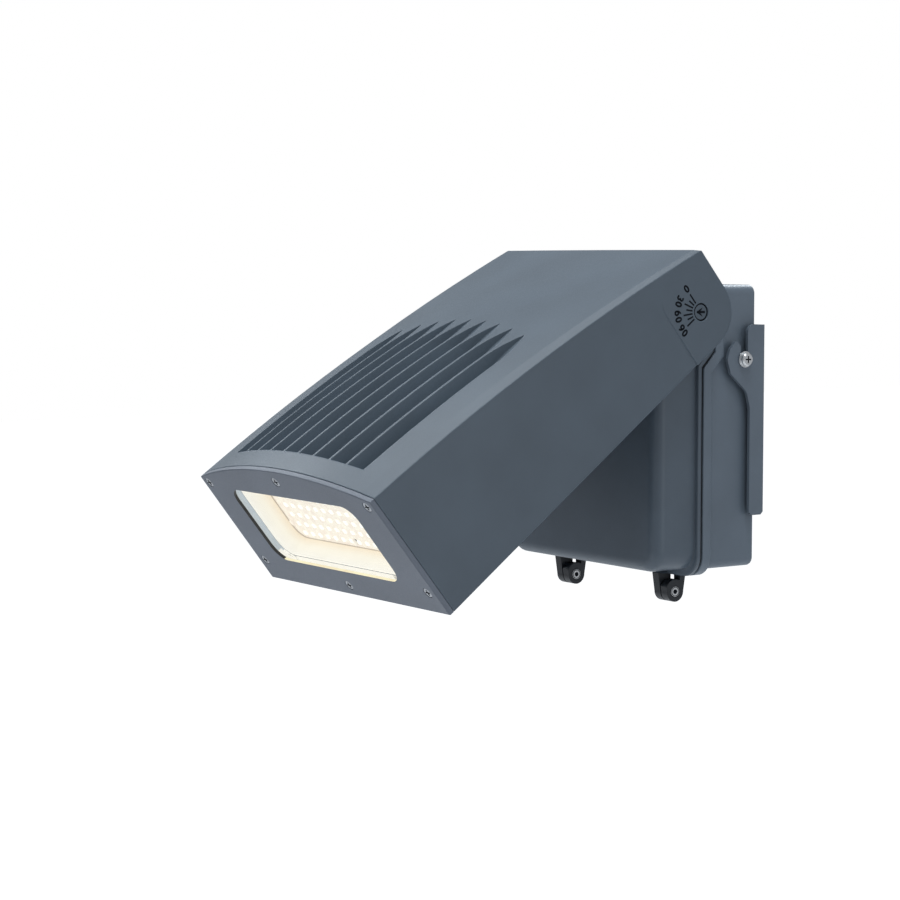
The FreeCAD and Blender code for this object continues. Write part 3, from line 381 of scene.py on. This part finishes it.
# Painted light: warm glow on the lower runs of the frame's lip and of the gasket.
lit_lip = glowing(
    "lit_lip", (0.20, 0.18, 0.14), (1.0, 0.86, 0.56),
    strength=0.80, mottle_scale=90.0, spread=0.10)
lit_gasket = glowing(
    "lit_gasket", (0.05, 0.04, 0.03), (1.0, 0.72, 0.36),
    strength=0.26, mottle_scale=90.0, spread=0.10)
pane = clear_glass("pane")
# Dark ink: printed on the dial and pointer, and painted shade in the screw recesses and round the
# disc and screw heads.
ink_and_recess_shade = moulded("dial_ink_and_recess_shade", (0.006, 0.008, 0.011), (0.85, 0.95), shine=0.12)

finishes = {
    "head_casting": head_coat, "bezel_frame": frame_coat_painted_light, "front_cover": cover_coat,
    "back_housing": housing_coat_painted_light, "wall_bracket": bracket_coat_painted_light, "pivot_bolts": bolt_coat,
    "hang_screws": stainless, "hang_washers": stainless, "hinge_screws": stainless,
    "hinge_nuts": stainless, "cover_screws": stainless, "bezel_screws": dull_steel,
    "board_screws": board_mask_painted_glow, "driver_screws": stainless, "ground_screw": green_steel,
    "pivot_nuts": stainless, "pivot_lock_washers": stainless, "pivot_washers": black_plastic,
    "wire_grommet": rubber, "housing_seal": rubber, "lens_gasket": rubber,
    "lead_grommet": rubber, "lead_gland": black_plastic, "terminal_block": cream_plastic,
    "led_driver": driver_metal, "thermal_pad": grey_film, "led_board": board_mask_painted_glow,
    "led_chips": lit_lamp, "reflector": wall_painted_glow, "lens_glass": pane,
}
for node_name, finish in finishes.items():
    dress(node_name, finish)


def surface_tree(name):
    mesh = nodes[name].data
    points = [vertex.co.copy() for vertex in mesh.vertices]
    return BVHTree.FromPolygons(points, [tuple(polygon.vertices) for polygon in mesh.polygons])


def dress_lugs(name, material):
    """Gives the hinge lugs, all that hangs below the flange, the darker coat."""
    mesh = nodes[name].data
    mesh.materials.append(material)
    flange_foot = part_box("housing_seal")[0].z - 2.5 * MM
    for polygon in mesh.polygons:
        if polygon.center.z < flange_foot:
            polygon.material_index = len(mesh.materials) - 1


def dress_faces(name, material, chosen):
    """One more material, on the faces that the test chooses.

    The test is told the face's place across the head, along its axis and above it, all from the
    pivot, and the face's normal.
    """
    mesh = nodes[name].data
    mesh.materials.append(material)
    for polygon in mesh.polygons:
        place = polygon.center - pivot
        ahead, above = place.dot(along_axis), place.dot(above_axis)
        if chosen(place.x, ahead, above, polygon.normal):
            polygon.material_index = len(mesh.materials) - 1


def on_glass_seat(x, ahead, above, normal):
    """Step in the casting behind the edge of the glass."""
    reach = 2 * glass_overlap
    upright = window_foot - reach < above < window_head + reach
    return upright and abs(x) < window_half_width + reach and abs(ahead - glass_back) < 0.1 * MM


def on_seat_foot(x, ahead, above, normal):
    """Lower run of the same step, lit by the lamps."""
    return on_glass_seat(x, ahead, above, normal) and above < window_foot + 2.0 * MM


def on_glass_edge(x, ahead, above, normal):
    """Cut edge of the glass, all round."""
    return abs(normal.dot(along_axis)) < 0.5


def on_glass_foot(x, ahead, above, normal):
    """Lower edge of the glass, with the bright wall behind it painted on as a glow."""
    return normal.dot(above_axis) < -0.5


def on_lip_foot(x, ahead, above, normal):
    """Lower edge of the window in the front frame, lit by the lamps."""
    near_window = abs(x) < window_half_width and window_foot - 1.0 * MM < above < 10.0 * MM
    return near_window and ahead > lip_back and normal.dot(above_axis) > 0.85


def on_lip_side(x, ahead, above, normal):
    """Upright edges of the window in the front frame, in their own shade."""
    near_window = abs(x) < window_half_width + 2.0 * MM and window_foot < above < window_head
    return near_window and ahead > lip_back and abs(normal.x) > 0.3


def on_gasket_foot(x, ahead, above, normal):
    """Lower run of the gasket, lit by the lamps."""
    return above < 0.0 and abs(x) < window_half_width


def in_channel(x, ahead, above, normal):
    """Face between two fins of the roof: metal stands beside it on either hand."""
    if not (fins_start < ahead < fins_end and above > fins_low):
        return False
    place = pivot + Vector((x, 0, 0)) + along_axis * ahead + above_axis * above
    start = place + normal * (0.4 * MM)
    hits = [head_tree.ray_cast(start, side, fin_pitch)[0] for side in (rightward, -rightward)]
    return None not in hits


head_tree = surface_tree("head_casting")
dress_lugs("front_cover", lug_black_and_lip_shade)
dress_lugs("back_housing", lug_black_and_lip_shade)
# Painted light: pale bluish glow on the seat of the glass.
dress_faces("head_casting", glass_edge_painted_glow, on_glass_seat)
# Painted light on the lower run of the seat.
dress_faces("head_casting", wall_painted_glow, on_seat_foot)
# Faces between the fins get the lighter copy of the coat: painted light.
dress_faces("head_casting", channel_coat_painted_light, in_channel)
# Painted light: bluish glow on the glass's cut edge, wall glow on its lower edge.
dress_faces("lens_glass", glass_edge_painted_glow, on_glass_edge)
dress_faces("lens_glass", wall_painted_glow, on_glass_foot)
# Painted light: the lip's lower edge glows.
dress_faces("bezel_frame", lit_lip, on_lip_foot)
# Painted shade: the lugs' black coat on the window's upright edges.
dress_faces("bezel_frame", lug_black_and_lip_shade, on_lip_side)
# Painted light: the gasket's lower run glows.
dress_faces("lens_gasket", lit_gasket, on_gasket_foot)


# ---- dial marks, pointer, and painted shade of the screw recesses ----

def thin_piece(name, points, faces, body, material):
    """Piece of the scene alone, carried by the body."""
    mesh = bpy.data.meshes.new(name)
    mesh.from_pydata(points, [], faces)
    mesh.validate()
    mesh.materials.append(material)
    piece = bpy.data.objects.new(name, mesh)
    bpy.context.scene.collection.objects.link(piece)
    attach(piece, body)


def seat_on(tree, place):
    """The point of the surface met by a line from outside along -X through the place."""
    start = Vector((2 * cad_high.x, place.y, place.z))
    return tree.ray_cast(start, -rightward)[0]


def plate_on(name, tree, outline, body, material):
    """Thin plate whose outline, given in the Y-Z plane, lies on the surface."""
    count = len(outline)
    seats = [seat_on(tree, point) for point in outline]
    rise = rightward * mark_rise
    points = [seat - rise for seat in seats] + [seat + rise for seat in seats]
    faces = [tuple(range(count)), tuple(range(2 * count - 1, count - 1, -1))]
    for index in range(count):
        following = (index + 1) % count
        faces.append((index, index + count, following + count, following))
    thin_piece(name, points, faces, body, material)


def dial_direction(degrees):
    """Direction on the ear of a dial reading: 0 square to the optical axis, 90 along it."""
    angle = radians(degrees)
    return above_axis * cos(angle) + along_axis * sin(angle)


def tick(degrees, tree):
    radial = dial_direction(degrees)
    across = Vector((0, -radial.z, radial.y)) * (tick_width / 2)
    end = tick_long if degrees % (2 * dial_step) == 0 else tick_short
    inner, outer = pivot + radial * tick_start, pivot + radial * end
    outline = [inner - across, inner + across, outer + across, outer - across]
    plate_on("dial_tick_%02d" % degrees, tree, outline, "head", ink_and_recess_shade)


def stroke_outline(points, width):
    """Closed outline of a stroke of even width along the points, in 2-D."""
    left, right = [], []
    for index, point in enumerate(points):
        before = points[max(index - 1, 0)]
        after = points[min(index + 1, len(points) - 1)]
        way = (after - before).normalized()
        side = Vector((-way.y, way.x)) * (width / 2)
        left.append(point + side)
        right.append(point - side)
    return left + list(reversed(right))


def arc_points(centre, radius_x, radius_y, start, end, steps):
    points = []
    for step in range(steps + 1):
        angle = radians(start + (end - start) * step / steps)
        points.append(Vector((radius_x * cos(angle), radius_y * sin(angle))) + centre)
    return points


def ring_strokes(centre, radius_x, radius_y):
    """A closed loop, as its left half and its right half."""
    left = arc_points(centre, radius_x, radius_y, 90, 270, 10)
    return [left, arc_points(centre, radius_x, radius_y, 270, 450, 10)]


def digit_strokes(digit):
    """Strokes of a plain 0, 3, 6 or 9, one unit high and 0.6 wide, about its middle."""
    if digit == "0":
        return ring_strokes(Vector((0.0, 0.0)), 0.25, 0.44)
    if digit == "3":
        upper = arc_points(Vector((0.0, 0.22)), 0.23, 0.22, 150, -90, 10)
        lower = arc_points(Vector((0.0, -0.22)), 0.25, 0.22, 90, -150, 10)
        return [upper, lower]
    tail = arc_points(Vector((0.15, -0.18)), 0.40, 0.62, 180, 100, 8)
    six = ring_strokes(Vector((0.0, -0.18)), 0.25, 0.26) + [tail]
    if digit == "9":
        return [[-point for point in stroke] for stroke in six]
    return six


def numeral(degrees, tree):
    """Numeral past the end of its tick, tops towards the pivot, read down the arc."""
    text = str(degrees)
    advance = digit_height * digit_advance
    for place, digit in enumerate(text):
        offset = (place - (len(text) - 1) / 2) * advance
        turn = degrees + offset / digit_radius * 180 / pi
        up = -dial_direction(turn) * digit_height
        right = dial_direction(turn + 90) * digit_height
        centre = pivot + dial_direction(turn) * digit_radius
        for number, stroke in enumerate(digit_strokes(digit)):
            outline = stroke_outline(stroke, digit_stroke)
            points = [centre + right * point.x + up * point.y for point in outline]
            plate_on("dial_%02d_%d_%d" % (degrees, place, number), tree, points, "head", ink_and_recess_shade)


def pointer(tree):
    """Arrow on the fixed pivot disc, pointing level and forward."""
    tip = 3.6 * MM
    wing = 3.0 * MM
    notch = (-wing * 0.1, wing * 0.35)
    shaft = 0.75 * MM
    shapes = {
        "pointer_upper": [(tip, 0.0), (-wing * 0.5, wing), notch],
        "pointer_lower": [(tip, 0.0), (notch[0], -notch[1]), (-wing * 0.5, -wing)],
        "pointer_shaft": [(wing, shaft), (-tip, shaft), (-tip, -shaft), (wing, -shaft)],
    }
    for name, shape in shapes.items():
        outline = [pivot - wallward * ahead + upward * rise for ahead, rise in shape]
        plate_on(name, tree, outline, "cover", ink_and_recess_shade)


def flat_mark(name, centre, right, up, outline, body, material):
    """Thin dark plate of painted shade that stands for a recess, on the plane through the centre.
    """
    count = len(outline)
    out = right.cross(up).normalized() * mark_rise
    seats = [centre + right * across + up * rise for across, rise in outline]
    faces = [tuple(reversed(range(count))), tuple(range(count, 2 * count))]
    for index in range(count):
        following = (index + 1) % count
        faces.append((index, following, following + count, index + count))
    points = [seat - out for seat in seats] + [seat + out / 2 for seat in seats]
    thin_piece(name, points, faces, body, material)


def flat_ring(name, centre, right, up, inner, outer, body, material):
    """Thin flat ring on the plane through the centre."""
    out = right.cross(up).normalized() * mark_rise
    points = []
    for radius, rise in ((inner, -1.0), (outer, -1.0), (outer, 0.5), (inner, 0.5)):
        for step in range(ring_steps):
            angle = 2 * pi * step / ring_steps
            radial = right * (radius * cos(angle)) + up * (radius * sin(angle))
            points.append(centre + radial + out * rise)
    faces = []
    for band in range(4):
        first, second = band * ring_steps, (band + 1) % 4 * ring_steps
        for step in range(ring_steps):
            following = (step + 1) % ring_steps
            faces.append((first + step, first + following, second + following, second + step))
    thin_piece(name, points, faces, body, material)


def cross_outline(arm, half_width):
    """Outline of a cross recess."""
    quarter = [(half_width, arm), (half_width, half_width), (arm, half_width)]
    outline = []
    for turn in range(4):
        outline += quarter
        quarter = [(y, -x) for x, y in quarter]
    return outline


def frame_screw_crosses():
    for number, (x, height) in enumerate(frame_screws):
        centre = pivot + rightward * x + above_axis * height + along_axis * frame_screw_face
        name = "frame_screw_cross_%d" % number
        flat_mark(name, centre, -rightward, above_axis, cross_outline(*frame_cross), "head", ink_and_recess_shade)


def hang_screw_crosses():
    low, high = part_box("hang_screws")
    middle_y, middle_z = (low.y + high.y) / 2, (low.z + high.z) / 2
    for name, x, turned in (("right", high.x, wallward), ("left", low.x, -wallward)):
        centre = Vector((x, middle_y, middle_z))
        outline = cross_outline(*hang_cross)
        flat_mark("hang_cross_" + name, centre, turned, upward, outline, "housing", ink_and_recess_shade)


def hinge_screw_sockets():
    """Painted shade of the hexagon socket and round the rim of both heads, which face +X."""
    hinge = Vector(joint["cover_hinge"]["pos_m"])
    corners = [pi * turn / 3 for turn in range(6)]
    hexagon = [(socket_radius * cos(angle), socket_radius * sin(angle)) for angle in corners]
    vertices = nodes["hinge_screws"].data.vertices
    for name, side in (("right", 1), ("left", -1)):
        face = max(vertex.co.x for vertex in vertices if vertex.co.x * side > 0)
        centre = Vector((face, hinge.y, hinge.z))
        flat_mark("hinge_socket_" + name, centre, wallward, upward, hexagon, "housing", ink_and_recess_shade)
        flat_ring("hinge_ring_" + name, centre, wallward, upward, *screw_ring, "housing", ink_and_recess_shade)


for reading in range(0, dial_end + 1, dial_step):
    tick(reading, head_tree)
for reading in range(0, dial_end + 1, 2 * dial_step):
    numeral(reading, head_tree)
pointer(surface_tree("pivot_bolts"))
bolt_face = Vector((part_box("pivot_bolts")[1].x, pivot.y, pivot.z))
# Dark ring round the pivot disc: painted shade of the wall of its recess.
flat_ring("disc_ring", bolt_face, wallward, upward, *disc_ring, "cover", ink_and_recess_shade)
frame_screw_crosses()
hang_screw_crosses()
hinge_screw_sockets()


# ---- room, lights and camera ----

def pale_surface(name, colour, seen_glow):
    """Matt pale surface that shows brighter to the eye than the light it passes on."""
    material, tree, shader = new_material(name)
    shader.inputs["Base Color"].default_value = (*colour, 1.0)
    shader.inputs["Roughness"].default_value = 0.9
    glow = tree.nodes.new("ShaderNodeEmission")
    glow.inputs["Color"].default_value = (1.0, 1.0, 1.0, 1.0)
    path = tree.nodes.new("ShaderNodeLightPath")
    strength = tree.nodes.new("ShaderNodeMath")
    strength.operation = "MULTIPLY"
    strength.inputs[1].default_value = seen_glow
    tree.links.new(path.outputs["Is Camera Ray"], strength.inputs[0])
    tree.links.new(strength.outputs[0], glow.inputs["Strength"])
    both = tree.nodes.new("ShaderNodeAddShader")
    tree.links.new(shader.outputs[0], both.inputs[0])
    tree.links.new(glow.outputs[0], both.inputs[1])
    tree.links.new(both.outputs[0], tree.nodes["Material Output"].inputs["Surface"])
    return material


def floor():
    mesh = bpy.data.meshes.new("floor")
    signs = ((-1, -1), (1, -1), (1, 1), (-1, 1))
    corners = [(floor_half * x, floor_half * y, floor_height) for x, y in signs]
    mesh.from_pydata(corners, [], [(0, 1, 2, 3)])
    plane = bpy.data.objects.new("floor", mesh)
    bpy.context.scene.collection.objects.link(plane)
    mesh.materials.append(pale_surface("floor_white", (0.85, 0.85, 0.86), floor_seen_glow))


def world():
    """White to the eye and through the glass, and a soft even light on everything."""
    sky = bpy.data.worlds.new("studio")
    bpy.context.scene.world = sky
    sky.use_nodes = True
    tree = sky.node_tree
    soft = tree.nodes["Background"]
    soft.inputs["Color"].default_value = (0.93, 0.96, 1.0, 1.0)
    soft.inputs["Strength"].default_value = sky_strength
    white = tree.nodes.new("ShaderNodeBackground")
    white.inputs["Color"].default_value = (1.0, 1.0, 1.0, 1.0)
    white.inputs["Strength"].default_value = 1.0
    path = tree.nodes.new("ShaderNodeLightPath")
    seen = tree.nodes.new("ShaderNodeMath")
    seen.operation = "MAXIMUM"
    tree.links.new(path.outputs["Is Camera Ray"], seen.inputs[0])
    tree.links.new(path.outputs["Is Transmission Ray"], seen.inputs[1])
    mix = tree.nodes.new("ShaderNodeMixShader")
    tree.links.new(seen.outputs[0], mix.inputs["Fac"])
    tree.links.new(soft.outputs[0], mix.inputs[1])
    tree.links.new(white.outputs[0], mix.inputs[2])
    tree.links.new(mix.outputs[0], tree.nodes["World Output"].inputs["Surface"])


def softbox(name, place, target, width, height, watts):
    light = bpy.data.lights.new(name, "AREA")
    light.shape = "RECTANGLE"
    light.size = width
    light.size_y = height
    light.energy = watts
    light.color = cool
    lamp = bpy.data.objects.new(name, light)
    bpy.context.scene.collection.objects.link(lamp)
    lamp.location = place
    lamp.rotation_euler = (target - place).to_track_quat("-Z", "Y").to_euler()


def camera():
    lens = bpy.data.cameras.new("camera")
    lens.sensor_width = camera_sensor
    lens.lens = camera_lens
    lens.clip_start = 0.05
    lens.clip_end = 100.0
    viewer = bpy.data.objects.new("camera", lens)
    bpy.context.scene.collection.objects.link(viewer)
    viewer.location = pivot + camera_from_pivot
    level = Vector((sin(camera_azimuth), -cos(camera_azimuth), 0.0))
    outward = level * cos(camera_elevation) + Vector((0.0, 0.0, sin(camera_elevation)))
    viewer.rotation_euler = (-outward).to_track_quat("-Z", "Y").to_euler()
    bpy.context.scene.camera = viewer


floor()
world()
middle = (cad_low + cad_high) / 2
for name, offset, width, height, watts in softboxes:
    softbox(name, middle + Vector(offset), middle, width, height, watts)
camera()

scene = bpy.context.scene
scene.view_settings.view_transform = "Standard"
